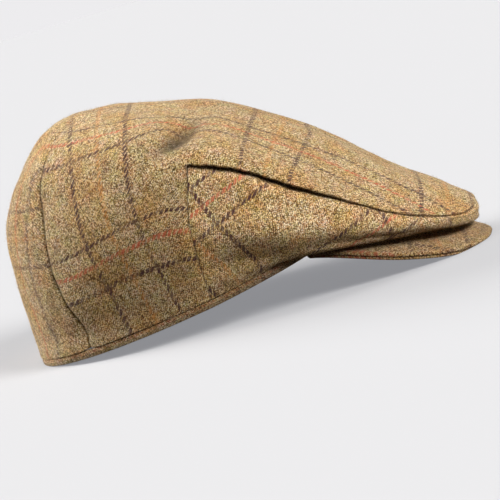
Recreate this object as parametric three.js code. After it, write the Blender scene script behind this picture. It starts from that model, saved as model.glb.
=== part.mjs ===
import * as THREE from 'three';

// Flat cap of checked wool tweed, standing by itself on its back rim and its peak.
// Millimetres, +Z up, +X towards the peak. The origin is under the middle of the cap, on the surface.

// Head opening, measured outside the rolled hem
const openingBack = 110;        // from the side seams back to the rim
const openingFront = 89;        // from the side seams forward to the forehead
const openingWidth = 158;
const rimRiseSide = 14.8;       // the rim's lower edge above the surface, at the side seams
const rimRiseFront = 33;        // and at the forehead

// Crown
const crownHeight = 134.5;
const crownWidth = 182;
const crownBack = 111.7;        // from the side seams back to the crown's furthest point
const crownFront = 161.4;       // from the side seams forward to the nose
const sideSeamX = -27;          // where the side seams meet the rim
const noseSquare = 2.2;         // 2 makes the crown's front half an ellipse, more squares it
const foreheadSquare = 2.7;     // the same for the head opening
const napeSquare = 2.2;         // and for the back of the head opening
const crownBackSquare = 2;
const clothWall = 2;
const noseCurlHeight = 6;       // how far the pleat turns up at the nose
const noseCurlAngle = 10;       // degrees either side of the nose

// Sewing
const seamGap = 0.3;            // left between neighbouring pieces
const pleatStep = 1.3;          // how far the crown's pleated edge stands proud of the side panels
const pleatFade = 9;            // over which the side panel rises to its full girth below the pleat
const dartAngle = 145;          // degrees from the nose round to each dart
const dartDepth = 1.2;
const dartWidth = 5;            // degrees either side of the dart
const dartStop = 1.5;           // rings short of the crown's highest point where it ends
const hemHeight = 4.6;
const hemLean = 0.8;            // how far the crown stands outside the rim at the hem's top
const hemThickness = 3;
const hemBulge = 0.05;          // how far the hem's roll stands out, as a share of its thickness
const restDepth = 0.9;          // how much of the hem is pressed flat where the cap stands

// Dimple pressed into each side of the crown above the side seam
const dimpleDepth = 4;
const dimpleLength = 14;        // each way along it
const dimpleHeight = 8;
const dimpleTurn = 28;          // degrees that its front end is turned up
const dimpleX = -20;
const dimpleZ = 108.5;
const dimpleOut = 60;           // from the cap's centre line out to its full depth

// Peak
const peakReach = 77;           // from the forehead to the peak's tip
const peakHalfAngle = 50;       // degrees from the nose to each corner of the peak
const peakPitch = 0.42;         // how far it falls for each millimetre forward
const peakCurl = 150;           // radius that it is curled to, across
const peakSeat = 1;             // how far below the hem's top it is rooted
const peakSeatFade = 15;        // how soon it leaves the hem's line for its own sheet
const peakWall = 1.9;
const peakEdgeStep = 1;         // how far the lower cover stays behind the upper one at the edge
const peakRest = 0.6;           // clearance between the peak and the crown that lies on it
const peakClearFade = 14;       // how gently the crown comes down past the edge of the peak

// Mesh fineness
const columnStep = 5;           // degrees
const noseColumnStep = 2.5;     // and within noseSpread of the nose, where the crown is narrow
const noseSpread = 20;
const stepsPerRing = 2;
const peakColumns = 28;
const peakRows = 6;
const nudge = 0.01;             // step to either side, in radians or rings, for reading a slope

// Rings of the crown from the hem up. centre and front are shares of crownFront, back of crownBack and width
// of half the crownWidth. The lifts are shares of crownHeight at the nose, halfway round to the side, at the
// side, halfway round to the back and at the back.
const rings = [
  { name: 'under roll', centre: 0.000, front: 0.840, back: 0.994, width: 0.925,
    nose: 0.136, corner: 0.167, side: 0.223, rear: 0.135, rump: 0.090 },
  { name: 'fold', centre: 0.000, front: 0.983, back: 0.998, width: 0.975,
    nose: 0.070, corner: 0.147, side: 0.305, rear: 0.240, rump: 0.200 },
  { name: 'belly', centre: 0.010, front: 1.000, back: 1.000, width: 1.000,
    nose: 0.105, corner: 0.190, side: 0.490, rear: 0.400, rump: 0.380 },
  { name: 'seam', centre: 0.055, front: 0.995, back: 0.970, width: 0.962,
    nose: 0.115, corner: 0.228, side: 0.702, rear: 0.620, rump: 0.585 },
  { name: 'shoulder', centre: 0.050, front: 0.905, back: 0.880, width: 0.870,
    nose: 0.246, corner: 0.352, side: 0.803, rear: 0.815, rump: 0.742 },
  { name: 'top', centre: 0.020, front: 0.731, back: 0.739, width: 0.680,
    nose: 0.400, corner: 0.556, side: 0.868, rear: 0.932, rump: 0.880 },
  { name: 'upper top', centre: -0.030, front: 0.502, back: 0.622, width: 0.440,
    nose: 0.636, corner: 0.750, side: 0.926, rear: 0.983, rump: 0.955 },
  { name: 'crest', centre: -0.110, front: 0.204, back: 0.475, width: 0.210,
    nose: 0.874, corner: 0.906, side: 0.968, rear: 0.995, rump: 0.995 },
];
const hemLevel = 1;             // the rim is level 0 and the top of the hem level 1
const seamRing = 5;
const apexShare = { along: -0.143, lift: 0.982 };

// Edge of the peak, from its tip round to its corner. around is a share of peakHalfAngle, reach of peakReach.
const peakEdge = [
  { around: 0.0, reach: 1.00 },
  { around: 0.2, reach: 0.94 },
  { around: 0.4, reach: 0.78 },
  { around: 0.6, reach: 0.51 },
  { around: 0.8, reach: 0.25 },
  { around: 1.0, reach: 0.04 },
];

const radians = THREE.MathUtils.degToRad;
const mix = THREE.MathUtils.lerp;
const side = { right: -1, left: 1 };
const eighthTurn = Math.PI / 4;

// Catmull-Rom through a list of numbers, at a place counted in list steps
function through(values, place) {
  const last = values.length - 1;
  const step = Math.min(Math.floor(place), last - 1);
  const t = place - step;
  const p1 = values[step];
  const p2 = values[step + 1];
  const p0 = step > 0 ? values[step - 1] : 2 * p1 - p2;
  const p3 = step + 2 <= last ? values[step + 2] : 2 * p2 - p1;
  const bend = (2 * p0 - 5 * p1 + 4 * p2 - p3) * t * t + (3 * p1 - p0 - 3 * p2 + p3) * t * t * t;
  return 0.5 * (2 * p1 + (p2 - p0) * t + bend);
}

// Plan of an egg-shaped ring: how far it reaches at an angle from the nose
function eggReach(egg, angle) {
  const along = Math.cos(angle);
  const half = along > 0 ? egg.front : egg.back;
  const square = mix(egg.squareBack, egg.squareFront, (1 + along) / 2);
  const sum = Math.abs(along / half) ** square + Math.abs(Math.sin(angle) / egg.width) ** square;
  return sum ** (-1 / square);
}

// The rim and the top of the hem lie in a gently bent plane
function hemRing(rise, spread) {
  const egg = {
    centre: sideSeamX,
    front: openingFront + spread,
    back: openingBack + spread,
    width: openingWidth / 2 + spread,
    squareFront: foreheadSquare,
    squareBack: napeSquare,
  };
  return (angle) => {
    const reach = eggReach(egg, angle);
    const x = reach * Math.cos(angle);
    const share = x / (x > 0 ? egg.front : egg.back);
    const bend = rimRiseFront / 2 - rimRiseSide;
    const lift = rimRiseSide + rimRiseFront / 2 * share + bend * share * share;
    return new THREE.Vector3(egg.centre + x, reach * Math.sin(angle), lift + rise - restDepth);
  };
}

function crownRing(row) {
  const centre = row.centre * crownFront;
  const egg = {
    front: row.front * crownFront - centre,
    back: row.back * crownBack + centre,
    width: row.width * crownWidth / 2,
    squareFront: noseSquare,
    squareBack: crownBackSquare,
  };
  const lifts = [row.corner, row.nose, row.corner, row.side, row.rear, row.rump, row.rear];
  return (angle) => {
    const reach = eggReach(egg, angle);
    const x = reach * Math.cos(angle);
    const y = reach * Math.sin(angle);
    const round = Math.atan2(Math.abs(y) / egg.width, x / (x > 0 ? egg.front : egg.back));
    const lift = through(lifts, 1 + round / eighthTurn) * crownHeight;
    return new THREE.Vector3(sideSeamX + centre + x, y, lift);
  };
}

const rimRing = hemRing(0, 0);
const ringsUp = [rimRing, hemRing(hemHeight, hemLean), ...rings.map(crownRing)];
const apexLevel = ringsUp.length;
const apex = new THREE.Vector3(
  sideSeamX + apexShare.along * crownFront, 0, apexShare.lift * crownHeight);

// Where the peak is rooted on the rim at an angle, and how far it reaches from there
function peakSpan(angle) {
  const around = Math.min(Math.abs(angle) / radians(peakHalfAngle), 1) * (peakEdge.length - 1);
  const root = rimRing(angle);
  const start = Math.hypot(root.x - sideSeamX, root.y);
  return { root, start, reach: through(peakEdge.map((row) => row.reach), around) * peakReach };
}

// The peak's top surface: pitched forward, curled across, and level with the hem at its root
function peakPoint(angle, share) {
  const { root, start, reach } = peakSpan(angle);
  const forehead = rimRing(0);
  const rootTop = hemHeight - peakSeat;
  const sheet = (x, y) => forehead.z + rootTop - peakPitch * (x - forehead.x) - y * y / (2 * peakCurl);
  const x = sideSeamX + (start + reach * share) * Math.cos(angle);
  const y = (start + reach * share) * Math.sin(angle);
  const seat = root.z + rootTop - sheet(root.x, root.y);
  return new THREE.Vector3(x, y, sheet(x, y) + seat * Math.exp(-reach * share / peakSeatFade));
}

// What lies over the peak is held clear of it, and drops away freely past its edge
function clearOfPeak(point) {
  const reached = Math.hypot(point.x - sideSeamX, point.y);
  const around = Math.atan2(point.y, point.x - sideSeamX);
  const held = Math.max(-radians(peakHalfAngle), Math.min(radians(peakHalfAngle), around));
  const { start, reach } = peakSpan(held);
  const share = (reached - start) / reach;
  if (share < 0) return;
  const pastEdge = Math.max(0, share - 1) * reach;
  const pastCorner = Math.abs(around - held) * reached;
  const away = Math.hypot(pastEdge, pastCorner);
  const floor = peakPoint(held, Math.min(share, 1)).z + peakRest - away * away / peakClearFade;
  point.z = Math.max(point.z, floor);
}

// How deep a point lies in the dimple, as a share of its depth
function dimpleShare(point) {
  const turn = radians(dimpleTurn);
  const x = point.x - dimpleX;
  const z = point.z - dimpleZ;
  const along = (x * Math.cos(turn) + z * Math.sin(turn)) / dimpleLength;
  const across = (z * Math.cos(turn) - x * Math.sin(turn)) / dimpleHeight;
  const outside = Math.min(1, Math.abs(point.y) / dimpleOut);
  return Math.exp(-(along * along) - across * across) * outside;
}

// The crown's outside at an angle from the nose and a level counted in rings from the rim
function crownPoint(angle, level) {
  const beyondApex = ringsUp[apexLevel - 1](Math.PI - Math.abs(angle));
  beyondApex.y *= -Math.sign(angle) || 1;
  const column = [...ringsUp.map((ring) => ring(angle)), apex, beyondApex];
  const point = new THREE.Vector3(
    through(column.map((p) => p.x), level),
    through(column.map((p) => p.y), level),
    through(column.map((p) => p.z), level));
  const nearSeam = Math.cos(Math.PI / 2 * Math.min(1, Math.abs(level - seamRing))) ** 2;
  const curl = nearSeam * Math.exp(-((angle / radians(noseCurlAngle)) ** 2));
  point.z += noseCurlHeight * curl;
  if (level < seamRing) clearOfPeak(point);
  const inward = new THREE.Vector3(sideSeamX - point.x, -point.y, crownHeight / 2 - point.z).normalize();
  const fromDart = (Math.abs(angle) - radians(dartAngle)) / radians(dartWidth);
  const dartEnd = Math.max(0, Math.min(1, apexLevel - dartStop - level)) * Math.min(1, level);
  const dart = dartDepth * Math.max(0, 1 - Math.abs(fromDart)) * dartEnd;
  const dimple = dimpleDepth * dimpleShare(point);
  return point.addScaledVector(inward, dart + dimple);
}

// Outward normal of a surface given as a function of two numbers
function normalOf(surface, u, v) {
  const alongU = surface(u + nudge, v).sub(surface(u - nudge, v));
  const alongV = surface(u, v + nudge).sub(surface(u, v - nudge));
  return alongU.cross(alongV).normalize();
}

function crownNormal(angle, level) {
  if (level >= apexLevel) return new THREE.Vector3(0, 0, 1);
  return normalOf(crownPoint, angle, Math.min(level, apexLevel - nudge));
}

// A cloth wall: outer points, their inward partners, and a strip along every open edge
class Cloth {
  constructor() {
    this.outer = [];
    this.inner = [];
    this.faces = [];
    this.places = new Map();
  }

  point(key, make) {
    if (!this.places.has(key)) {
      const { outer, inner } = make();
      this.places.set(key, this.outer.length);
      this.outer.push(outer);
      this.inner.push(inner);
    }
    return this.places.get(key);
  }

  quad(a, b, c, d) {
    if (a !== b && b !== c && a !== c) this.faces.push([a, b, c]);
    if (a !== c && c !== d && a !== d) this.faces.push([a, c, d]);
  }

  geometry() {
    const count = this.outer.length;
    const indices = [];
    const edges = new Map();
    for (const [a, b, c] of this.faces) {
      indices.push(a, b, c, a + count, c + count, b + count);
      for (const [from, to] of [[a, b], [b, c], [c, a]]) edges.set(`${from} ${to}`, [from, to]);
    }
    for (const [from, to] of edges.values()) {
      if (edges.has(`${to} ${from}`)) continue;
      indices.push(from, from + count, to + count, from, to + count, to);
    }
    const positions = [...this.outer, ...this.inner].flatMap((p) => [p.x, p.y, p.z]);
    const geometry = new THREE.BufferGeometry();
    geometry.setAttribute('position', new THREE.Float32BufferAttribute(positions, 3));
    geometry.setIndex(indices);
    return geometry;
  }
}

// Adds a grid of cells to a cloth, from lists of angles and levels, with its edges drawn in by the seam gap
function addGrid(cloth, angles, levels, wallPoint) {
  for (let i = 0; i + 1 < angles.length; i += 1) {
    for (let j = 0; j + 1 < levels.length; j += 1) {
      const corner = (di, dj) => wallPoint(angles[i + di], levels[j + dj]);
      cloth.quad(corner(0, 0), corner(1, 0), corner(1, 1), corner(0, 1));
    }
  }
}

function span(from, to, count) {
  return Array.from({ length: count + 1 }, (_, i) => mix(from, to, i / count));
}

const sideAngle = 90;

// Angles from the nose round to a far angle, closer together near the nose
function columnsTo(far) {
  const near = span(0, noseSpread, noseSpread / noseColumnStep);
  return [...near, ...span(noseSpread, far, (far - noseSpread) / columnStep).slice(1)];
}

function mirrored(angles) {
  return angles.map((angle) => -angle).reverse();
}

// Steps off a seam by a real distance, along the levels or round the angle
function levelAway(angle, level, distance) {
  const travelled = crownPoint(angle, level + nudge).distanceTo(crownPoint(angle, level - nudge));
  return level + distance * 2 * nudge / travelled;
}

function angleAway(angle, level, distance) {
  const travelled = crownPoint(angle + nudge, level).distanceTo(crownPoint(angle - nudge, level));
  return angle + distance * 2 * nudge / travelled;
}

// Crown: top, rear sides and back
function crownGeometry() {
  const cloth = new Cloth();
  const place = (angle, level) => {
    const turn = angle === -180 ? 180 : angle;
    const key = level >= apexLevel ? 'apex' : `${turn} ${level}`;
    return cloth.point(key, () => {
      const around = radians(turn);
      const height = level === hemLevel ? levelAway(around, level, seamGap) : level;
      const outer = crownPoint(around, height);
      const normal = crownNormal(around, height);
      return { outer, inner: outer.clone().addScaledVector(normal, -clothWall) };
    });
  };
  const upper = span(seamRing, apexLevel, (apexLevel - seamRing) * stepsPerRing);
  const half = columnsTo(180);
  addGrid(cloth, [...mirrored(half), ...half.slice(1)], upper, place);
  const lower = span(hemLevel, seamRing, (seamRing - hemLevel) * stepsPerRing);
  const rear = half.filter((angle) => angle >= sideAngle);
  addGrid(cloth, rear, lower, place);
  addGrid(cloth, mirrored(rear), lower, place);
  return cloth.geometry();
}

// Front side panel, from the side seam to the nose
function sidePanelGeometry(turn) {
  const cloth = new Cloth();
  const place = (angle, level) => cloth.point(`${angle} ${level}`, () => {
    let around = radians(angle);
    if (angle === 0) around = angleAway(0, level, turn * seamGap / 2);
    if (Math.abs(angle) === sideAngle) around = angleAway(around, level, -turn * seamGap);
    let height = level;
    if (level === hemLevel) height = levelAway(around, level, seamGap);
    if (level === seamRing) height = levelAway(around, level, -seamGap);
    const outer = crownPoint(around, height);
    const normal = crownNormal(around, height);
    const below = crownPoint(around, seamRing).distanceTo(outer);
    const sink = pleatStep * Math.max(0, 1 - below / pleatFade) ** 2;
    outer.addScaledVector(normal, -sink);
    return { outer, inner: outer.clone().addScaledVector(normal, -clothWall) };
  });
  const angles = turn > 0 ? columnsTo(sideAngle) : mirrored(columnsTo(sideAngle));
  addGrid(cloth, angles, span(hemLevel, seamRing, (seamRing - hemLevel) * stepsPerRing), place);
  return cloth.geometry();
}

// Ring of a closed section carried round by the angle
function ringGeometry(sectionAt) {
  const half = columnsTo(180);
  const angles = [...mirrored(half), ...half.slice(1, -1)];
  const sections = angles.map((angle) => sectionAt(radians(angle)));
  const size = sections[0].length;
  const indices = [];
  for (let i = 0; i < sections.length; i += 1) {
    const next = (i + 1) % sections.length;
    for (let j = 0; j < size; j += 1) {
      const across = (j + 1) % size;
      const a = i * size + j;
      const b = next * size + j;
      const c = next * size + across;
      const d = i * size + across;
      indices.push(a, b, c, a, c, d);
    }
  }
  const geometry = new THREE.BufferGeometry();
  geometry.setAttribute('position',
    new THREE.Float32BufferAttribute(sections.flat().flatMap((p) => [p.x, p.y, p.z]), 3));
  geometry.setIndex(indices);
  return geometry;
}

// Rolled hem. out and up are shares of its thickness and height, from the outer lower corner round.
const hemSection = [
  { out: -0.18, up: 0.00 },
  { out: 0.00, up: 0.20 },
  { out: hemBulge, up: 0.55 },
  { out: 0.00, up: 1.00 },
  { out: -0.75, up: 1.00 },
  { out: -1.00, up: 0.80 },
  { out: -1.00, up: 0.20 },
  { out: -0.82, up: 0.00 },
];

function hemGeometry() {
  return ringGeometry((angle) => {
    const foot = rimRing(angle);
    const ahead = rimRing(angle + nudge).sub(rimRing(angle - nudge));
    const out = new THREE.Vector3(ahead.y, -ahead.x, 0).normalize();
    return hemSection.map((row) => {
      const point = foot.clone().addScaledVector(out, row.out * hemThickness);
      point.z = Math.max(0, point.z + row.up * hemHeight);
      return point;
    });
  });
}

// Peak cover, from its edge back to the rim. depth is counted down from the peak's top surface.
function peakGeometry(depth, inset) {
  const cloth = new Cloth();
  const surface = (angle, share) => peakPoint(angle, 1 - share);
  const place = (angle, share) => cloth.point(`${angle} ${share}`, () => {
    const turn = radians(angle);
    const { reach } = peakSpan(turn);
    const rootClear = (hemThickness * hemBulge + seamGap) / reach;
    const at = share === 0 ? inset / reach : share * (1 - rootClear);
    const plumb = 1 / normalOf(surface, turn, at).z;
    const outer = surface(turn, at);
    const inner = outer.clone();
    outer.z = Math.max(0, outer.z - depth * plumb);
    inner.z = Math.max(0, inner.z - (depth + peakWall) * plumb);
    return { outer, inner };
  });
  addGrid(cloth, span(-peakHalfAngle, peakHalfAngle, peakColumns), span(0, 1, peakRows), place);
  return cloth.geometry();
}

const tweed = { color: 0xb8925f, roughness: 0.95, metalness: 0 };
const shaded = { color: 0x8a6a43, roughness: 0.95, metalness: 0 };

const cap = new THREE.Group();
cap.name = 'flat_cap';

function add(name, geometry, look) {
  geometry.computeVertexNormals();
  const mesh = new THREE.Mesh(geometry, new THREE.MeshStandardMaterial(look));
  mesh.name = name;
  cap.add(mesh);
}

add('crown_top', crownGeometry(), tweed);
add('side_panel_right', sidePanelGeometry(side.right), tweed);
add('side_panel_left', sidePanelGeometry(side.left), tweed);
add('rim_band', hemGeometry(), shaded);
add('peak_upper', peakGeometry(0, 0), tweed);
add('peak_lower', peakGeometry(peakWall + seamGap, peakEdgeStep), shaded);

// The origin goes under the middle of the cap, on the surface that it stands on
const extent = new THREE.Box3().setFromObject(cap);
cap.position.set(-(extent.min.x + extent.max.x) / 2, 0, -extent.min.z);

export default cap;
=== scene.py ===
import math

import bpy
import numpy as np
from mathutils import Matrix, Vector


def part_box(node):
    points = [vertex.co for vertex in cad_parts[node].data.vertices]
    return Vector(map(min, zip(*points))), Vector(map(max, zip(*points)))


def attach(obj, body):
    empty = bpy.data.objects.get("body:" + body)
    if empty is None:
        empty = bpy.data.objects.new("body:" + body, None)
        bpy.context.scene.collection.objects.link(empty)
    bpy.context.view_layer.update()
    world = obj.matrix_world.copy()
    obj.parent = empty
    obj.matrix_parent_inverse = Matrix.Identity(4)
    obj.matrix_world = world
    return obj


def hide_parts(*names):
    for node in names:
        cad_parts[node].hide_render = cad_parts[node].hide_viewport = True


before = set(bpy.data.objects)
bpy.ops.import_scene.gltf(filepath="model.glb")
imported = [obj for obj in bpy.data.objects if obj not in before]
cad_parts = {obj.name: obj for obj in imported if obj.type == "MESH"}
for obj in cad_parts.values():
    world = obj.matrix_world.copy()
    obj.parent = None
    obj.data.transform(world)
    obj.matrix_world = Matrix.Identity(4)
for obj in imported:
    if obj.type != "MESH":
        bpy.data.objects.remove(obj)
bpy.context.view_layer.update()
mm = 0.001

# The cap's cut, as the CAD part has it, in metres and radians
cut = {
    "openingBack": 110 * mm,
    "openingFront": 89 * mm,
    "openingWidth": 158 * mm,
    "rimRiseSide": 14.8 * mm,
    "rimRiseFront": 33 * mm,
    "crownHeight": 134.5 * mm,
    "crownWidth": 182 * mm,
    "crownBack": 111.7 * mm,
    "crownFront": 161.4 * mm,
    "sideSeamX": -27 * mm,
    "noseSquare": 2.2,
    "foreheadSquare": 2.7,
    "napeSquare": 2.2,
    "crownBackSquare": 2,
    "clothWall": 2 * mm,
    "noseCurlHeight": 6 * mm,
    "noseCurlAngle": math.radians(10),
    "seamGap": 0.3 * mm,
    "pleatStep": 1.3 * mm,
    "pleatFade": 9 * mm,
    "hemHeight": 4.6 * mm,
    "hemLean": 0.8 * mm,
    "hemThickness": 3 * mm,
    "restDepth": 0.9 * mm,
}
rings = [
    {"centre": 0.000, "front": 0.840, "back": 0.994, "width": 0.925,
     "lifts": (0.136, 0.167, 0.223, 0.135, 0.090)},
    {"centre": 0.000, "front": 0.983, "back": 0.998, "width": 0.975,
     "lifts": (0.070, 0.147, 0.305, 0.240, 0.200)},
    {"centre": 0.010, "front": 1.000, "back": 1.000, "width": 1.000,
     "lifts": (0.105, 0.190, 0.490, 0.400, 0.380)},
    {"centre": 0.055, "front": 0.995, "back": 0.970, "width": 0.962,
     "lifts": (0.115, 0.228, 0.702, 0.620, 0.585)},
    {"centre": 0.050, "front": 0.905, "back": 0.880, "width": 0.870,
     "lifts": (0.246, 0.352, 0.803, 0.815, 0.742)},
    {"centre": 0.020, "front": 0.731, "back": 0.739, "width": 0.680,
     "lifts": (0.400, 0.556, 0.868, 0.932, 0.880)},
    {"centre": -0.030, "front": 0.502, "back": 0.622, "width": 0.440,
     "lifts": (0.636, 0.750, 0.926, 0.983, 0.955)},
    {"centre": -0.110, "front": 0.204, "back": 0.475, "width": 0.210,
     "lifts": (0.874, 0.906, 0.968, 0.995, 0.995)},
]
hemLevel = 1
seamRing = 5
apexLevel = len(rings) + 2
apexPlace = np.array([cut["sideSeamX"] - 0.143 * cut["crownFront"], 0, 0.982 * cut["crownHeight"]])
sideAngle = math.pi / 2
eighthTurn = math.pi / 4

peak = {
    "reach": 77 * mm,
    "halfAngle": math.radians(50),
    "pitch": 0.42,
    "curl": 150 * mm,
    "seat": 1 * mm,
    "seatFade": 15 * mm,
    "wall": 1.9 * mm,
    "edgeStep": 1 * mm,
    "rest": 0.6 * mm,
    "clearFade": 14 * mm,
    "edge": (1.00, 0.94, 0.78, 0.51, 0.25, 0.04),
}
dimple = {
    "depth": 4 * mm,
    "length": 14 * mm,
    "height": 8 * mm,
    "turn": math.radians(28),
    "x": -20 * mm,
    "z": 108.5 * mm,
    "out": 60 * mm,
}
# A sharper crease that wear has pressed into the dimple, darkened with painted shade
creaseDent = {"depth": 5.0 * mm, "length": 13 * mm, "height": 3.4 * mm, "turn": math.radians(17),
              "x": -20 * mm, "z": 109 * mm, "shade": 0.86, "leftSide": 0.25}
# The darts are sewn at a steady angle in the CAD part. Here each leans a little back towards the top.
dart = {"angle": math.radians(145), "depth": 1.2 * mm, "width": math.radians(5), "stop": 1.5,
        "fadeFrom": 6.2, "fadeTo": 8, "leanLow": math.radians(-5.2), "leanHigh": math.radians(3.4),
        "leanFrom": 1.8, "leanTo": 5.8, "leanWide": math.radians(16)}


def smooth(low, high, value):
    share = np.clip((value - low) / (high - low), 0, 1)
    return share * share * (3 - 2 * share)


def bump(distance, wide):
    return np.exp(-(distance / wide) ** 2)


def between(low, high, share):
    return low + (high - low) * share


def unit(vector):
    return vector / np.maximum(np.linalg.norm(vector, axis=-1, keepdims=True), 1e-12)


def arcAlong(curve):
    return np.append(0, np.cumsum(np.linalg.norm(np.diff(curve, axis=0), axis=-1)))


def dartLean(level):
    return between(dart["leanLow"], dart["leanHigh"], smooth(dart["leanFrom"], dart["leanTo"], level))


def dartEnd(level):
    return np.clip(apexLevel - dart["stop"] - level, 0, 1)


# Catmull-Rom through a list of numbers or arrays, at places counted in list steps
def through(values, place):
    ends = [2 * values[0] - values[1], 2 * values[-1] - values[-2]]
    full = np.broadcast_arrays(ends[0], *values, ends[1], place)
    table = np.stack(full[:-1])
    place = full[-1]
    step = np.minimum(np.floor(place), len(values) - 2).astype(int)
    t = place - step
    p0, p1, p2, p3 = (np.take_along_axis(table, (step + k)[None], 0)[0] for k in range(4))
    bend = (2 * p0 - 5 * p1 + 4 * p2 - p3) * t * t + (3 * p1 - p0 - 3 * p2 + p3) * t ** 3
    return 0.5 * (2 * p1 + (p2 - p0) * t + bend)


def eggReach(front, back, width, squareFront, squareBack, angle):
    along = np.cos(angle)
    half = np.where(along > 0, front, back)
    square = squareBack + (squareFront - squareBack) * (1 + along) / 2
    total = np.abs(along / half) ** square + np.abs(np.sin(angle) / width) ** square
    return total ** (-1 / square)


def hemRing(rise, spread, angle):
    front = cut["openingFront"] + spread
    back = cut["openingBack"] + spread
    width = cut["openingWidth"] / 2 + spread
    reach = eggReach(front, back, width, cut["foreheadSquare"], cut["napeSquare"], angle)
    x = reach * np.cos(angle)
    share = x / np.where(x > 0, front, back)
    bend = cut["rimRiseFront"] / 2 - cut["rimRiseSide"]
    lift = cut["rimRiseSide"] + cut["rimRiseFront"] / 2 * share + bend * share * share
    return np.stack([cut["sideSeamX"] + x, reach * np.sin(angle), lift + rise - cut["restDepth"]], -1)


def crownRing(row, angle):
    centre = row["centre"] * cut["crownFront"]
    front = row["front"] * cut["crownFront"] - centre
    back = row["back"] * cut["crownBack"] + centre
    width = row["width"] * cut["crownWidth"] / 2
    reach = eggReach(front, back, width, cut["noseSquare"], cut["crownBackSquare"], angle)
    x = reach * np.cos(angle)
    y = reach * np.sin(angle)
    around = np.arctan2(np.abs(y) / width, x / np.where(x > 0, front, back))
    nose, corner, side, rear, rump = row["lifts"]
    lifts = [corner, nose, corner, side, rear, rump, rear]
    lift = through(lifts, 1 + around / eighthTurn) * cut["crownHeight"]
    return np.stack([cut["sideSeamX"] + centre + x, y, lift], -1)


def levelRing(level, angle):
    if level == 0:
        return hemRing(0, 0, angle)
    if level == hemLevel:
        return hemRing(cut["hemHeight"], cut["hemLean"], angle)
    return crownRing(rings[level - 2], angle)


def peakSpan(angle):
    around = np.minimum(np.abs(angle) / peak["halfAngle"], 1) * (len(peak["edge"]) - 1)
    root = hemRing(0, 0, angle)
    start = np.hypot(root[..., 0] - cut["sideSeamX"], root[..., 1])
    return root, start, through(list(peak["edge"]), around) * peak["reach"]


# The peak's top surface, at an angle from the nose and a share of the way from its root to its edge
def peakPoint(angle, share):
    root, start, reach = peakSpan(angle)
    forehead = hemRing(0, 0, np.array(0.0))
    rootTop = cut["hemHeight"] - peak["seat"]

    def sheet(x, y):
        return forehead[2] + rootTop - peak["pitch"] * (x - forehead[0]) - y * y / (2 * peak["curl"])

    x = cut["sideSeamX"] + (start + reach * share) * np.cos(angle)
    y = (start + reach * share) * np.sin(angle)
    seat = root[..., 2] + rootTop - sheet(root[..., 0], root[..., 1])
    return np.stack([x, y, sheet(x, y) + seat * np.exp(-reach * share / peak["seatFade"])], -1)


# Height below which cloth over the peak may not lie
def peakFloor(point):
    reached = np.hypot(point[..., 0] - cut["sideSeamX"], point[..., 1])
    around = np.arctan2(point[..., 1], point[..., 0] - cut["sideSeamX"])
    held = np.clip(around, -peak["halfAngle"], peak["halfAngle"])
    root, start, reach = peakSpan(held)
    share = (reached - start) / reach
    away = np.hypot(np.maximum(0, share - 1) * reach, np.abs(around - held) * reached)
    floor = peakPoint(held, np.minimum(share, 1))[..., 2] + peak["rest"] - away ** 2 / peak["clearFade"]
    return np.where(share >= 0, floor, -1)


def dentShare(point, dent):
    x = point[..., 0] - dent["x"]
    z = point[..., 2] - dent["z"]
    along = (x * math.cos(dent["turn"]) + z * math.sin(dent["turn"])) / dent["length"]
    across = (z * math.cos(dent["turn"]) - x * math.sin(dent["turn"])) / dent["height"]
    return np.exp(-along ** 2 - across ** 2) * np.minimum(1, np.abs(point[..., 1]) / dimple["out"])


# The crown's outside at an angle from the nose and a level counted in rings from the rim
def crownPoint(angle, level):
    angle, level = np.broadcast_arrays(np.asarray(angle, float), np.asarray(level, float))
    beyond = levelRing(apexLevel - 1, np.pi - np.abs(angle))
    beyond[..., 1] *= np.where(angle >= 0, -1, 1)
    column = [levelRing(k, angle) for k in range(apexLevel)]
    column += [np.broadcast_to(apexPlace, beyond.shape), beyond]
    point = np.stack([through([ring[..., axis] for ring in column], level) for axis in range(3)], -1)
    nearSeam = np.cos(np.pi / 2 * np.minimum(1, np.abs(level - seamRing))) ** 2
    point[..., 2] += cut["noseCurlHeight"] * nearSeam * bump(angle, cut["noseCurlAngle"])
    lifted = np.maximum(point[..., 2], peakFloor(point))
    point[..., 2] = np.where(level < seamRing, lifted, point[..., 2])
    inward = unit(np.array([cut["sideSeamX"], 0, cut["crownHeight"] / 2]) - point)
    fromDart = np.abs(np.abs(angle) - dart["angle"] - dartLean(level)) / dart["width"]
    dartRun = dartEnd(level) * np.minimum(1, level)
    sink = dart["depth"] * np.maximum(0, 1 - fromDart) * dartRun + dimple["depth"] * dentShare(point, dimple)
    return point + inward * sink[..., None]


def normalOf(surface, u, v, nudge=0.01):
    alongU = surface(u + nudge, v) - surface(u - nudge, v)
    alongV = surface(u, v + nudge) - surface(u, v - nudge)
    return unit(np.cross(alongU, alongV))


def crownNormal(angle, level):
    return normalOf(crownPoint, angle, np.minimum(level, apexLevel - 0.01))


# Smooth unevenness of hand-worked cloth, between -1 and 1, from a few waves of a given length
def waviness(point, length, seed, waves=7):
    draw = np.random.default_rng(seed)
    total = np.zeros(point.shape[:-1])
    for _ in range(waves):
        heading = unit(draw.normal(size=3))
        turns = 2 * np.pi / (length * draw.uniform(0.75, 1.5))
        total += np.sin(point @ heading * turns + draw.uniform(0, 2 * np.pi))
    return total / math.sqrt(waves * 2)


# How far the CAD build moved the cap to put the origin under its middle
rearAngles = np.radians(np.linspace(90, 180, 181))[:, None]
rearmost = crownPoint(rearAngles, np.linspace(hemLevel, seamRing + 1, 301)[None])[..., 0].min()
cadShift = np.array([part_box("crown_top")[0].x - rearmost, 0, 0])
print("stage: surface ready, CAD shift in mm", cadShift[0] / mm)


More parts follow.
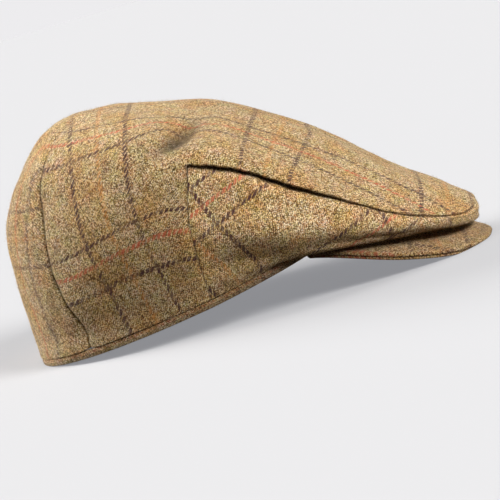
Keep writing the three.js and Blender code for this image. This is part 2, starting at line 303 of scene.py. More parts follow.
# How the crown's cloth lies: distances along its centre line, and down its side from the highest point
down = np.linspace(apexLevel, hemLevel, 181)
sideCurve = crownPoint(np.full(down.shape, sideAngle - 1e-6), down)
sideArc = arcAlong(sideCurve)
topRows = down >= seamRing
centreLine = np.concatenate([crownPoint(np.full(topRows.sum(), np.pi), down[topRows])[::-1],
                             crownPoint(np.zeros(topRows.sum()), down[topRows])[1:]])
centreArc = arcAlong(centreLine)
centreArc -= np.interp(0, centreLine[:, 0], centreArc)
rearCurve = crownPoint(np.full(down.shape, np.pi), down)
rearFall = np.maximum.accumulate(-rearCurve[:, 2])
rearArc = np.interp(apexPlace[0], centreLine[:, 0], centreArc) - arcAlong(rearCurve)

# Where the lengthwise threads of the crown lie. arc runs down the side from the centre line, and thread
# counts from the red line of the check, as if the cloth lay flat.
threadRows = [
    {"arc": 0 * mm, "thread": -79 * mm},
    {"arc": 64 * mm, "thread": -13 * mm},
    {"arc": 75 * mm, "thread": 0 * mm},
    {"arc": 86 * mm, "thread": 13 * mm},
    {"arc": 127 * mm, "thread": 66 * mm},
    {"arc": 139 * mm, "thread": 79 * mm},
    {"arc": 156 * mm, "thread": 92 * mm},
    {"arc": 186 * mm, "thread": 120 * mm},
]
crownLay = {
    "crossAt": -62 * mm,
    "crossPull": 3.5 * mm,
    "crossPullAt": 46 * mm,
    "crossPullWide": 35 * mm,
    "leanRear": 8 * mm,
    "leanFront": 17 * mm,
    "leanAt": 35 * mm,
    "leanWide": 50 * mm,
    "leanDrop": 115 * mm,
    "leanMost": 1.2,
    "narrow": 17 * mm,
    "narrowBack": -55 * mm,
    "narrowFront": -5 * mm,
    "narrowFrom": 30 * mm,
    "narrowKept": 90 * mm,
    "narrowGone": 120 * mm,
    "pinch": 6 * mm,
    "pinchAt": 5 * mm,
    "pinchWide": 16 * mm,
    "leastAside": 10 * mm,
    "rearFrom": math.radians(65),
    "rearFull": math.radians(95),
    "ringsFrom": 18 * mm,
    "ringsFull": 60 * mm,
    "backRed": 34 * mm,
    "backEase": 1.1,
}


# Cloth coordinates of the crown in metres: across its centre line groups, and over the threads beside it.
# back is the share of the back's own lay, whose lengthwise threads run down between the darts.
def crownLayOf(point, angle, level, back):
    lay = crownLay
    x = point[..., 0]
    aside = np.abs(point[..., 1])
    drop = np.maximum(np.interp(x, centreLine[:, 0], centreLine[:, 2]) - point[..., 2], 0)
    arcRear = np.interp(-level, -down, sideArc)
    arcFront = aside + 2 / 3 * drop ** 2 / np.maximum(aside, lay["leastAside"])  # length of a parabola
    rear = smooth(lay["rearFrom"], lay["rearFull"], np.abs(angle))
    rear = rear * smooth(lay["ringsFrom"], lay["ringsFull"], arcRear)
    arc = between(arcFront, arcRear, rear)
    narrow = lay["narrow"] * smooth(lay["narrowBack"], lay["narrowFront"], x)
    narrow += lay["pinch"] * bump(x - lay["pinchAt"], lay["pinchWide"])
    narrow *= 1 - smooth(lay["narrowKept"], lay["narrowGone"], arc)
    arc = arc + narrow * smooth(0, lay["narrowFrom"], arc)
    thread = np.interp(arc, [row["arc"] for row in threadRows], [row["thread"] for row in threadRows])
    lean = lay["leanRear"] + lay["leanFront"] * bump(x - lay["leanAt"], lay["leanWide"])
    along = x + lean * np.sin(np.pi * np.minimum(drop / lay["leanDrop"], lay["leanMost"]))
    across = np.interp(along, centreLine[:, 0], centreArc) - lay["crossAt"]
    pull = bump(across + lay["crossAt"] - lay["crossPullAt"], lay["crossPullWide"])
    across = across - lay["crossPull"] * pull
    backAcross = np.interp(-point[..., 2], rearFall, rearArc) - lay["crossAt"]
    backThread = (aside - lay["backRed"]) * lay["backEase"]
    return np.stack([between(across, backAcross, back), between(thread, backThread, back)], -1)


beltLevel = 4
beltAngles = np.linspace(0, sideAngle, 181)
beltCurve = crownPoint(beltAngles, np.full(beltAngles.shape, float(beltLevel)))
beltArc = arcAlong(beltCurve)
biasLay = {"turn": math.radians(25), "threadAt": 60.5 * mm, "crossAt": 24 * mm, "shear": 0.15,
           "shearAt": 51 * mm}


# Cloth coordinates of a side panel, cut on the bias
def sideLayOf(point, angle):
    forward = beltArc[-1] - np.interp(np.abs(angle), beltAngles, beltArc)
    height = point[..., 2]
    along = forward * math.cos(biasLay["turn"]) + height * math.sin(biasLay["turn"])
    along = along + biasLay["shear"] * (height - biasLay["shearAt"]) - biasLay["crossAt"]
    thread = height * math.cos(biasLay["turn"]) - forward * math.sin(biasLay["turn"])
    return np.stack([along, biasLay["threadAt"] - thread], -1)


# Grid stops between two ends, crowded together round given places
def stopsBetween(start, end, step, crowds=(), reach=0.0):
    stops = np.linspace(start, end, round((end - start) / step) + 1)
    stops = [p for p in stops if all(abs(p - c) > reach for c in crowds)]
    shares = (-1, -0.72, -0.48, -0.28, -0.12, 0, 0.12, 0.28, 0.48, 0.72, 1)
    stops += [c + share * reach for c in crowds for share in shares]
    return np.array(sorted(p for p in stops if start <= p <= end))


def addObject(name, data):
    thing = bpy.data.objects.new(name, data)
    bpy.context.scene.collection.objects.link(thing)
    return thing


# A mesh with values at its points. The cloth's own coordinates become its UV map, in millimetres.
def makePiece(name, points, faces, values, smoothed=True):
    mesh = bpy.data.meshes.new(name)
    mesh.from_pydata(points.tolist(), [], faces)
    corner = np.empty(len(mesh.loops), np.int32)
    mesh.loops.foreach_get("vertex_index", corner)
    for layer, value in values.items():
        if layer == "cloth":
            uv = mesh.uv_layers.new(name=layer)
            uv.data.foreach_set("uv", (value[corner] / mm).ravel())
        else:
            attribute = mesh.attributes.new(layer, "FLOAT", "POINT")
            attribute.data.foreach_set("value", value.ravel())
    mesh.polygons.foreach_set("use_smooth", [smoothed] * len(mesh.polygons))
    mesh.update()
    return addObject(name, mesh)


# Joins a grid of outer points and their inward partners into one closed cloth wall. solid says which cells
# of the grid are cloth, wraps whether its columns close in a ring, and gathers whether its last row is one
# point.
def clothWall(name, outer, inner, solid, values, wraps=False, gathers=False):
    columns, rows = outer.shape[:2]
    index = np.arange(columns * rows).reshape(columns, rows)
    if gathers:
        index[:, -1] = index[0, -1]
    quads = []
    for i in range(columns if wraps else columns - 1):
        after = (i + 1) % columns
        for j in range(rows - 1):
            if solid[i, j]:
                quads.append([index[i, j], index[after, j], index[after, j + 1], index[i, j + 1]])
    quads = np.array(quads)
    used, packed = np.unique(quads, return_inverse=True)
    quads = packed.reshape(quads.shape)
    count = len(used)
    points = np.concatenate([outer.reshape(-1, 3)[used], inner.reshape(-1, 3)[used]])
    starts, ends = quads, np.roll(quads, -1, axis=1)
    directed = np.stack([starts.ravel(), ends.ravel()], -1)
    directed = directed[directed[:, 0] != directed[:, 1]]
    known = set(map(tuple, directed.tolist()))
    edges = [(a, b) for a, b in known if (b, a) not in known]
    faces = [list(dict.fromkeys(quad)) for quad in quads.tolist()]
    faces += [[v + count for v in reversed(face)] for face in faces]
    faces += [[a, a + count, b + count, b] for a, b in edges]
    both = {}
    for layer, value in values.items():
        both[layer] = np.tile(value.reshape(columns * rows, -1)[used], (2, 1))
    return makePiece(name, points + cadShift, faces, both)


# Rounds the edges of a cloth wall, given each point's distance from the nearest edge
def rollEdges(outer, inner, normal, distance, radius):
    short = np.clip(radius - distance, 0, radius)
    roll = (radius - np.sqrt(radius ** 2 - short ** 2))[..., None]
    return outer - normal * roll, inner + normal * roll


# Real distance on the cloth for one radian round it and for one level up it
def gridScales(angle, level, nudge=0.01):
    around = np.linalg.norm(crownPoint(angle + nudge, level) - crownPoint(angle - nudge, level), axis=-1)
    low = np.minimum(level, apexLevel - nudge)
    up = np.linalg.norm(crownPoint(angle, low + nudge) - crownPoint(angle, low - nudge), axis=-1)
    return around / (2 * nudge), up / (2 * nudge)


seamLook = {
    "dip": 0.22 * mm,
    "dipWide": 1.8 * mm,
    "dipEase": 4 * mm,
    "proud": 0.9 * mm,
    "proudWide": 6 * mm,
    "proudNose": 0.4,
    "proudPast": 6 * mm,
    "tuck": 1.7 * mm,
    "tuckWide": 3.4 * mm,
    "shadeWide": 1.9 * mm,
    "fineWide": 0.55 * mm,
    "pleatShade": 0.6,
    "pleatShadeWide": 0.4 * mm,
    "pleatShadePast": 0.02,
    "sideShadeLow": 0.5,
    "sideShadeHigh": 0.9,
    "sideShadeRise": (0.35, 0.1),
    "noseTo": math.radians(35),
    "templeFrom": math.radians(60),
    "dartLine": 0.42 * mm,
    "dartLineWide": 0.9 * mm,
    "dartShade": 0.62,
    "dartRidge": 0.45 * mm,
    "dartRidgeAt": 3.5 * mm,
    "dartRidgeWide": 4 * mm,
    "edgeRadius": 0.92 * mm,
    "sideRadius": 0.25 * mm,
    "hemRadius": 0.16 * mm,
    "sideGap": 0.06 * mm,
    "gapEase": 3 * mm,
}
creaseLook = {"coarse": 0.55 * mm, "coarseLength": 46 * mm, "fine": 0.22 * mm, "fineLength": 17 * mm,
              "seamFlare": 1.3, "seamFlareWide": 12 * mm}


# How far round an angle is, from 0 in front to 1 at the temples and behind them
def templeShare(angle):
    return smooth(seamLook["noseTo"], seamLook["templeFrom"], np.abs(angle))


# Painted shade along the side seam, darkest where it runs in under the pleat
def sideSeamShade(level):
    start, end = seamLook["sideShadeRise"]
    high = smooth(seamRing - start, seamRing - end, level)
    return between(seamLook["sideShadeLow"], seamLook["sideShadeHigh"], high)


# Soft folds of the worn cloth, each at an angle from the nose and a level, with how far it stands out
folds = [
    {"angle": 114, "level": 3.00, "wide": 19, "tall": 0.95, "push": -3.8 * mm},
    {"angle": 112, "level": 4.65, "wide": 20, "tall": 0.45, "push": 1.2 * mm},
    {"angle": 75, "level": 2.65, "wide": 18, "tall": 0.72, "push": -3.4 * mm},
    {"angle": 64, "level": 3.62, "wide": 22, "tall": 0.50, "push": 3.6 * mm},
    {"angle": 36, "level": 3.10, "wide": 17, "tall": 0.50, "push": -2.8 * mm},
    {"angle": 93, "level": 3.60, "wide": 2.2, "tall": 1.20, "push": 0.45 * mm},
    {"angle": 86, "level": 3.20, "wide": 2.5, "tall": 1.10, "push": -0.5 * mm},
    {"angle": 0, "level": 5.75, "wide": 26, "tall": 0.75, "push": 1.8 * mm},
    {"angle": 0, "level": 3.30, "wide": 13, "tall": 0.55, "push": -1.6 * mm},
    {"angle": 21, "level": 2.90, "wide": 11, "tall": 0.50, "push": 1.3 * mm},
]
foldEase = 0.8
seamDrop = {"levels": 0.09, "angle": 58, "wide": 10, "fade": 0.8, "waver": 0.012, "slow": 0.9, "quick": 2.3,
            "quickShare": 0.7}


def creaseShare(point):
    return dentShare(point, creaseDent) * np.where(point[..., 1] < 0, 1, creaseDent["leftSide"])


def foldLift(angle, level, point):
    aside = np.degrees(np.abs(angle))
    lift = -creaseDent["depth"] * creaseShare(point)
    for fold in folds:
        share = bump(aside - fold["angle"], fold["wide"]) * bump(level - fold["level"], fold["tall"])
        lift = lift + fold["push"] * share
    return lift * smooth(hemLevel, hemLevel + foldEase, level)


# The pleat hangs a little lower over the temples than the ring it follows, and wavers
def hung(angle, level):
    aside = np.degrees(np.abs(angle))
    drop = seamDrop["levels"] * bump(aside - seamDrop["angle"], seamDrop["wide"])
    quick = seamDrop["quickShare"] * np.sin(aside * seamDrop["quick"] + 1)
    drop = drop + seamDrop["waver"] * (np.sin(aside * seamDrop["slow"]) + quick)
    return level - drop * bump(level - seamRing, seamDrop["fade"])


def creases(point, seed, nearSeam):
    coarse = creaseLook["coarse"] * waviness(point, creaseLook["coarseLength"], seed)
    fine = creaseLook["fine"] * waviness(point, creaseLook["fineLength"], seed + 1)
    flare = 1 + creaseLook["seamFlare"] * bump(nearSeam, creaseLook["seamFlareWide"])
    return coarse + fine * flare


# Share of painted shade over patches of cloth that lie in shade, each round an angle in degrees and a level
def paintedShadeShare(angle, level, patches):
    aside = np.degrees(np.abs(angle))
    total = np.zeros(angle.shape)
    for patch in patches:
        around = bump(aside - patch["angle"], patch["wide"])
        total = np.maximum(total, patch["share"] * around * bump(level - patch["level"], patch["tall"]))
    return total


crownPiece = {
    "columnStep": math.radians(1.1),
    "columnCrowd": math.radians(2.4),
    "rowStep": 1 / 13,
    "rowCrowd": 0.16,
    "waveEase": 6 * mm,
    "seed": 11,
    "rumpFrom": math.radians(143),
    "rumpFull": math.radians(143) + 0.2,
    "rumpFaint": 0.3,
    "rumpEnd": (8, 9),
    "backFrom": math.radians(139),
    "backFull": math.radians(159),
    "backSoft": (5.8, 6.6),
    "backEnd": (6.8, 8.2),
    # Painted shade low on the rear sides, where the cloth turns down
    "paintedShadePatches": [{"angle": 116, "wide": 27, "level": 1.9, "tall": 1.0, "share": 0.35}],
}


# Crown: top panel, rear sides and back, with a proud pleat over the side panels and two darts
def makeCrown(look):
    reach = look["columnCrowd"]
    crowds = (-dart["angle"], -sideAngle, sideAngle, dart["angle"])
    angles = stopsBetween(-np.pi, np.pi, look["columnStep"], crowds, reach)[:-1]
    levels = stopsBetween(hemLevel, apexLevel, look["rowStep"], (hemLevel, seamRing), look["rowCrowd"])
    column, level = np.meshgrid(angles, levels, indexing="ij")
    lean = dartLean(level) * bump(np.abs(column) - dart["angle"], dart["leanWide"])
    angle = column + np.sign(column) * lean
    place = hung(angle, level)
    point = crownPoint(angle, place)
    normal = crownNormal(angle, place)
    normal[:, -1] = (0, 0, 1)
    perAngle, perLevel = gridScales(angle, level)
    aboveHem = (level - hemLevel) * perLevel
    toSide = (np.abs(angle) - sideAngle) * perAngle
    toPleat = np.hypot(np.maximum(level - seamRing, 0) * perLevel, np.maximum(toSide, 0))
    toSeam = np.where(level >= seamRing, toPleat, np.maximum(toSide, 0))
    distance = np.minimum(toSeam, aboveHem)
    # Seams of this piece, as soft valleys and ridges of the cloth
    sideSeam = np.where(level < seamRing, bump(toSeam, seamLook["dipWide"]), 0)
    pleat = np.where(np.abs(angle) <= sideAngle, 1, bump(toSide, seamLook["proudPast"]))
    pleat = pleat * (level >= seamRing) * between(seamLook["proudNose"], 1, templeShare(angle))
    lift = seamLook["proud"] * pleat * bump(toPleat, seamLook["proudWide"])
    lift = lift - seamLook["dip"] * sideSeam * smooth(0, seamLook["dipEase"], (seamRing - level) * perLevel)
    toDart = np.abs(np.abs(column) - dart["angle"]) * perAngle
    dartRun = dartEnd(level) * (1 - smooth(dart["fadeFrom"], dart["fadeTo"], level))
    lift = lift - seamLook["dartLine"] * bump(toDart, seamLook["dartLineWide"]) * dartRun
    ridge = bump(toDart - seamLook["dartRidgeAt"], seamLook["dartRidgeWide"])
    lift = lift + seamLook["dartRidge"] * ridge * dartRun
    nearSeam = np.minimum(np.where(level < seamRing + 0.5, np.abs(toSide), 1), toDart)
    wave = creases(point, look["seed"], nearSeam)
    lift = lift + wave * smooth(0, look["waveEase"], distance) + foldLift(angle, place, point)
    outer = point + normal * lift[..., None]
    inner = outer - normal * cut["clothWall"]
    radius = np.where(level >= seamRing, seamLook["edgeRadius"],
                      np.where(toSide < aboveHem, seamLook["sideRadius"], seamLook["hemRadius"]))
    outer, inner = rollEdges(outer, inner, normal, distance, radius)
    middle = np.roll(angle, -1, axis=0)
    middle = np.where(middle < angle, middle + 2 * np.pi, middle)
    middle = (angle + middle) / 2
    solid = (level >= seamRing - 1e-9) | (np.abs(middle) > sideAngle)
    seamLine = np.where(level < seamRing, bump(toSeam, seamLook["fineWide"]), 0)
    pleatLine = (level >= seamRing) * (np.abs(angle) < sideAngle + seamLook["pleatShadePast"])
    # Painted shade along the darts and side seams, on the pleat's rolled edge, in the crease and in shaded
    # patches
    shade = np.maximum.reduce([
        seamLook["dartShade"] * bump(toDart, seamLook["fineWide"]) * dartRun,
        sideSeamShade(level) * seamLine,
        seamLook["pleatShade"] * bump(toPleat, seamLook["pleatShadeWide"]) * pleatLine,
        creaseDent["shade"] * creaseShare(point),
        paintedShadeShare(angle, level, look["paintedShadePatches"]),
    ])
    rump = smooth(look["rumpFrom"], look["rumpFull"], np.abs(angle)) * (1 - smooth(*look["rumpEnd"], level))
    check = 1 - look["rumpFaint"] * rump
    # The back's lay starts sharply at the darts, and softly above their upper ends
    behind = (np.abs(column) > dart["angle"] + 1e-6).astype(float)
    spread = smooth(look["backFrom"], look["backFull"], np.abs(column))
    back = between(behind, spread, smooth(*look["backSoft"], level))
    back = back * (1 - smooth(*look["backEnd"], level))
    values = {"cloth": crownLayOf(point, angle, level, back), "seamShade": shade, "checkShow": check}
    return clothWall("crownCloth", outer, inner, solid, values, wraps=True, gathers=True)


sidePiece = {
    "columnStep": math.radians(0.85),
    "columnCrowd": math.radians(1.8),
    "rowStep": 1 / 16,
    "rowCrowd": 0.16,
    "turnIn": 0.24,
    "tuckFull": 14 * mm,
    "tuckAtSide": 0.4,
    "shadeAtSide": 0.45,
    "shadeNose": 0.35,
    "shadeTemple": 0.95,
    "shadeWideNose": 0.3,
    "sinkNose": 0.32,
    "noseUnder": 1.7 * mm,
    "noseUnderEase": 2 * mm,
    "waveEase": 5 * mm,
    "waveLevels": (1.6, 3.2),
    # Painted shade under the front of the panel, and low towards the side seam
    "paintedShadePatches": [{"angle": 20, "wide": 19, "level": 3.05, "tall": 0.85, "share": 0.50},
               {"angle": 82, "wide": 26, "level": 1.45, "tall": 0.80, "share": 0.36}],
    "seed": 31,
}


# Front side panel, from the side seam to the nose, tucked up under the crown's pleat
def makeSidePanel(name, turn, look):
    angles = stopsBetween(0, sideAngle, look["columnStep"], (0, sideAngle), look["columnCrowd"])
    top = seamRing + look["turnIn"]
    levels = stopsBetween(hemLevel, top, look["rowStep"], (hemLevel, seamRing), look["rowCrowd"])
    angle, level = np.meshgrid(angles * turn, levels, indexing="ij")
    perAngle, perLevel = gridScales(angle, level)
    away = np.abs(angle)
    toNose = away * perAngle
    toSide = (sideAngle - away) * perAngle
    below = np.maximum(seamRing - level, 0) * perLevel
    toTop = (top - level) * perLevel
    aboveHem = (level - hemLevel) * perLevel
    # The edges are drawn in by a fine gap. The upper one is turned in under the crown's pleat.
    ease = seamLook["gapEase"]
    away = away + cut["seamGap"] / 2 / perAngle * (1 - smooth(0, ease, toNose))
    away = away - seamLook["sideGap"] / perAngle * (1 - smooth(0, ease, toSide))
    lower = level + seamLook["sideGap"] / perLevel * (1 - smooth(0, ease, aboveHem))
    angle = away * turn
    place = hung(angle, lower)
    point = crownPoint(angle, place)
    normal = crownNormal(angle, place)
    distance = np.minimum(np.minimum(toNose, toSide), np.minimum(toTop, aboveHem))
    sink = cut["pleatStep"] * np.maximum(0, 1 - below / cut["pleatFade"]) ** 2
    hooked = smooth(0, look["tuckFull"], toSide)
    tuck = seamLook["tuck"] * between(look["tuckAtSide"], 1, hooked)
    sink = sink + tuck * bump(below, seamLook["tuckWide"])
    rear = templeShare(angle)
    under = smooth(0, look["noseUnderEase"], (level - seamRing) * perLevel)
    sink = sink * between(look["sinkNose"], 1, rear) + look["noseUnder"] * (1 - rear) * under
    sideDip = seamLook["dip"] * bump(toSide, seamLook["dipWide"]) * smooth(0, seamLook["dipEase"], below)
    noseDip = seamLook["dip"] * bump(toNose, seamLook["dipWide"])
    wave = creases(point, look["seed"], toSide) * smooth(0, look["waveEase"], distance)
    wave = wave * smooth(*look["waveLevels"], level)
    lift = wave - sink - sideDip - noseDip + foldLift(angle, place, point)
    outer = point + normal * lift[..., None]
    outer[..., 2] = np.maximum(outer[..., 2], peakFloor(outer))
    inner = outer - normal * cut["clothWall"]
    radius = np.where(toSide < aboveHem, seamLook["sideRadius"], seamLook["hemRadius"])
    outer, inner = rollEdges(outer, inner, normal, distance, radius)
    solid = np.ones(level.shape, bool)
    # Painted shade under the crown's pleat, along the side seam and in shaded patches
    shadeWide = seamLook["shadeWide"] * between(look["shadeWideNose"], 1, rear)
    shadeWide = shadeWide * between(look["shadeAtSide"], 1, hooked)
    shade = np.maximum.reduce([
        between(look["shadeNose"], look["shadeTemple"], rear) * bump(below, shadeWide),
        sideSeamShade(level) * bump(toSide, seamLook["fineWide"]),
        paintedShadeShare(angle, level, look["paintedShadePatches"]),
    ])
    values = {"cloth": sideLayOf(point, angle), "seamShade": shade, "checkShow": np.ones(level.shape)}
    if turn < 0:
        outer, inner, solid = outer[::-1], inner[::-1], solid[::-1]
        values = {layer: value[::-1] for layer, value in values.items()}
    return clothWall(name, outer, inner, solid, values)


hemPiece = {
    "columnStep": math.radians(1.2),
    "sides": 20,
    "square": 6.5,
    "bulge": 0.12,
    "waver": 0.18 * mm,
    "waverLength": 22 * mm,
    "topShade": 0.10,
    "topFrom": 0.7,
    "check": 0.3,
    # Painted shade on the hem's sides
    "paintedShadePatches": [{"angle": 75, "wide": 50, "level": 0, "tall": 1, "share": 0.45}],
    "seed": 51,
}


# Rolled hem round the head opening, flattened where the cap stands on it
def makeHem(look):
    angles = stopsBetween(-np.pi, np.pi, look["columnStep"])[:-1]
    turns = np.linspace(0, 2 * np.pi, look["sides"] + 1)
    angle, turn = np.meshgrid(angles, turns, indexing="ij")
    foot = hemRing(0, 0, angle)
    ahead = hemRing(0, 0, angle + 0.01) - hemRing(0, 0, angle - 0.01)
    out = unit(np.stack([ahead[..., 1], -ahead[..., 0], np.zeros(angle.shape)], -1))
    power = 2 / look["square"]
    outward = np.sign(np.cos(turn)) * np.abs(np.cos(turn)) ** power
    upward = np.sign(np.sin(turn)) * np.abs(np.sin(turn)) ** power
    thick = cut["hemThickness"] * (1 + look["bulge"])
    point = foot + out * ((outward - 1) / 2 * thick + look["bulge"] * cut["hemThickness"])[..., None]
    point[..., 2] += (upward + 1) / 2 * cut["hemHeight"]
    waver = look["waver"] * waviness(point, look["waverLength"], look["seed"])
    point = point + out * np.minimum(waver, 0)[..., None] * (outward > 0)[..., None]
    point[..., 2] = np.maximum(point[..., 2], 0)
    arc = np.broadcast_to(arcAlong(foot[:, 0])[:, None], angle.shape)
    lay = np.stack([arc, turn * cut["hemHeight"] / 2], -1)
    # Painted shade on the hem's top under the crown's edge, and on its sides
    shade = look["topShade"] * smooth(look["topFrom"], 1, upward) * (outward > -0.5)
    shade = np.maximum(shade, paintedShadeShare(angle, np.zeros(angle.shape), look["paintedShadePatches"]))
    count, sides = angle.shape[0], look["sides"]
    faces = []
    for i in range(count):
        after = (i + 1) % count
        for j in range(sides):
            k = (j + 1) % sides
            faces.append([i * sides + j, after * sides + j, after * sides + k, i * sides + k])
    values = {"cloth": lay[:, :-1].reshape(-1, 2), "seamShade": shade[:, :-1],
              "checkShow": np.full((count, sides), look["check"])}
    return makePiece("hemRoll", point[:, :-1].reshape(-1, 3) + cadShift, faces, values)


peakPieces = {
    "columnStep": math.radians(0.8),
    "columnCrowd": math.radians(1.4),
    "rowStep": 1 / 44,
    "rowCrowd": 0.05,
    "grooveIn": 3.2 * mm,
    "grooveDepth": 0.3 * mm,
    "grooveShade": 0.3,
    "grooveWide": 0.7 * mm,
    "droop": 1.6 * mm,
    "droopLong": 13 * mm,
    "droopWide": math.radians(24),
    "rollFree": 0.46,
    "rollFacing": 0.14,
    "rollAtRoot": 0.4 * mm,
    "wave": 0.12 * mm,
    "waveMost": 0.1 * mm,
    "waveLength": 20 * mm,
    "waveEase": 5 * mm,
    "redAside": 70 * mm,
    "rootShade": 0.80,
    "rootShadeWide": 24 * mm,
    "check": 0.8,
    "seed": 71,
}


# One cover of the peak, from its edge back to the rim. depth is counted down from its top surface.
def makePeakCover(name, depth, inset, faceUp, look):
    half = peak["halfAngle"]
    angles = stopsBetween(-half, half, look["columnStep"], (-half, half), look["columnCrowd"])
    shares = stopsBetween(0, 1, look["rowStep"], (0, 1), look["rowCrowd"])
    angle, share = np.meshgrid(angles, shares, indexing="ij")

    def surface(turn, at):
        return peakPoint(turn, 1 - at)

    reach = peakSpan(angle)[2]
    rootClear = (cut["hemThickness"] * hemPiece["bulge"] + cut["seamGap"]) / reach
    at = inset / reach + share * (1 - rootClear - inset / reach)
    point = surface(angle, at)
    normal = normalOf(surface, angle, at)
    plumb = 1 / normal[..., 2]
    toEdge = share * reach
    toRoot = (1 - share) * reach
    radius = np.hypot(point[..., 0] - cut["sideSeamX"], point[..., 1])
    toCorner = (half - np.abs(angle)) * radius
    distance = np.minimum(np.minimum(toEdge, toCorner), toRoot + look["rollAtRoot"])
    grooveLine = bump(toEdge - look["grooveIn"], look["grooveWide"])
    groove = look["grooveDepth"] * grooveLine
    wave = waviness(point, look["waveLength"], look["seed"]) * smooth(0, look["waveEase"], distance)
    wave = np.minimum(look["wave"] * wave, look["waveMost"])
    droop = look["droop"] * np.maximum(0, 1 - toEdge / look["droopLong"]) ** 2
    droop = droop * bump(angle, look["droopWide"])
    outer = point.copy()
    inner = point.copy()
    outer[..., 2] -= (depth + look["wave"]) * plumb - wave + groove * faceUp + droop
    inner[..., 2] -= (depth + peak["wall"]) * plumb - groove * (1 - faceUp) + droop
    plumbUp = np.zeros(normal.shape)
    plumbUp[..., 2] = 1
    upperRoll = look["rollFree"] if faceUp else look["rollFacing"]
    lowerRoll = look["rollFacing"] if faceUp else look["rollFree"]
    outer = rollEdges(outer, inner, plumbUp, distance, upperRoll * peak["wall"])[0]
    inner = rollEdges(outer, inner, plumbUp, distance, lowerRoll * peak["wall"])[1]
    outer[..., 2] = np.maximum(outer[..., 2], 0)
    inner[..., 2] = np.maximum(inner[..., 2], 0)
    lay = np.stack([point[..., 0], np.abs(point[..., 1]) - look["redAside"]], -1)
    # Painted shade at the peak's root under the crown's overhang, and in the groove near its edge
    rootShade = look["rootShade"] * bump(toRoot, look["rootShadeWide"])
    shade = np.maximum(look["grooveShade"] * grooveLine, rootShade)
    values = {"cloth": lay, "seamShade": shade, "checkShow": np.full(share.shape, look["check"])}
    return clothWall(name, outer, inner, np.ones(share.shape, bool), values)


# Loose wool hairs on a cloth, each a thin bent blade of three short faces
def makeHairs(name, source, look, count, seed):
    draw = np.random.default_rng(seed)
    mesh = source.data
    mesh.calc_loop_triangles()
    corners = np.empty(len(mesh.loop_triangles) * 3, np.int32)
    mesh.loop_triangles.foreach_get("vertices", corners)
    corners = corners.reshape(-1, 3)
    outside = np.empty(len(mesh.vertices) * 3)
    mesh.vertices.foreach_get("co", outside)
    outside = outside.reshape(-1, 3)
    corners = corners[(corners < look["outerShare"] * len(outside)).all(axis=1)]
    a, b, c = (outside[corners[:, k]] for k in range(3))
    cross = np.cross(b - a, c - a)
    area = np.linalg.norm(cross, axis=-1)
    pick = draw.choice(len(area), count, p=area / area.sum())
    share = np.sqrt(draw.random(count))[:, None]
    slide = draw.random(count)[:, None]
    root = a[pick] * (1 - share) + b[pick] * share * (1 - slide) + c[pick] * share * slide
    normal = cross[pick] / area[pick][:, None]
    loose = draw.normal(size=(count, 3))
    flat = unit(loose - normal * (loose * normal).sum(-1, keepdims=True))
    side = np.cross(normal, flat)
    length = look["length"] * draw.lognormal(0, look["lengthSpread"], count)[:, None]
    rise = look["rise"] * draw.random(count)[:, None] ** 2 + look["leastRise"]
    curl = draw.normal(0, look["curl"], count)[:, None]
    half = look["thick"] / 2
    slim = half * 0.8
    middle = root + length * 0.5 * (flat + normal * rise + side * curl * 0.4)
    tip = root + length * (flat * 0.9 + normal * rise * (1.3 - 0.7 * rise) + side * curl)
    root = root - normal * half
    points = [root - side * half, root + side * half, middle + side * slim, middle - side * slim, tip]
    points = np.stack(points, 1)
    points[..., 2] = np.maximum(points[..., 2], 0)
    first = np.arange(count)[:, None] * 5
    quads = (first + [0, 1, 2, 3]).tolist()
    tips = (first + [3, 2, 4]).tolist()
    tone = {"hairTone": np.repeat(draw.random(count), 5)}
    return makePiece(name, points.reshape(-1, 3), quads + tips, tone, smoothed=False)


def put(tree, kind, sockets=None, **settings):
    node = tree.nodes.new(kind)
    for setting, value in settings.items():
        setattr(node, setting, value)
    for socket, value in (sockets or {}).items():
        if isinstance(value, bpy.types.NodeSocket):
            tree.links.new(value, node.inputs[socket])
        else:
            node.inputs[socket].default_value = value
    return node


def maths(tree, operation, *values):
    return put(tree, "ShaderNodeMath", dict(enumerate(values)), operation=operation).outputs[0]


def vectorMaths(tree, operation, *values):
    return put(tree, "ShaderNodeVectorMath", dict(enumerate(values)), operation=operation).outputs[0]


def blend(tree, share, first, second, kind="MIX"):
    node = put(tree, "ShaderNodeMix", data_type="RGBA", blend_type=kind)
    for socket, value in zip((node.inputs[0], node.inputs[6], node.inputs[7]), (share, first, second)):
        if isinstance(value, bpy.types.NodeSocket):
            tree.links.new(value, socket)
        else:
            socket.default_value = value
    return node.outputs[2]


def remap(tree, value, fromLow, fromHigh, low=0.0, high=1.0):
    sockets = {"Value": value, "From Min": fromLow, "From Max": fromHigh, "To Min": low, "To Max": high}
    return put(tree, "ShaderNodeMapRange", sockets, interpolation_type="SMOOTHSTEP").outputs["Result"]


def makeGroup(name, inputs, outputs):
    tree = bpy.data.node_groups.new(name, "ShaderNodeTree")
    kinds = {"vector": "NodeSocketVector", "value": "NodeSocketFloat", "colour": "NodeSocketColor"}
    for label, (kind, value) in inputs.items():
        socket = tree.interface.new_socket(label, in_out="INPUT", socket_type=kinds[kind])
        if value is not None:
            socket.default_value = value
    for label, kind in outputs.items():
        tree.interface.new_socket(label, in_out="OUTPUT", socket_type=kinds[kind])
    return tree, tree.nodes.new("NodeGroupInput").outputs, tree.nodes.new("NodeGroupOutput").inputs


def useGroup(tree, group, sockets):
    return put(tree, "ShaderNodeGroup", sockets, node_tree=group).outputs


# Mask of a band of values round a centre, with soft edges
def spanWithin(tree, value, centre, width, soft=0.12):
    away = maths(tree, "ABSOLUTE", maths(tree, "SUBTRACT", value, centre))
    return remap(tree, away, width * (0.5 + soft), width * (0.5 - soft))


def scaled(tree, vector, factor):
    return put(tree, "ShaderNodeVectorMath", {0: vector, "Scale": factor}, operation="SCALE").outputs[0]


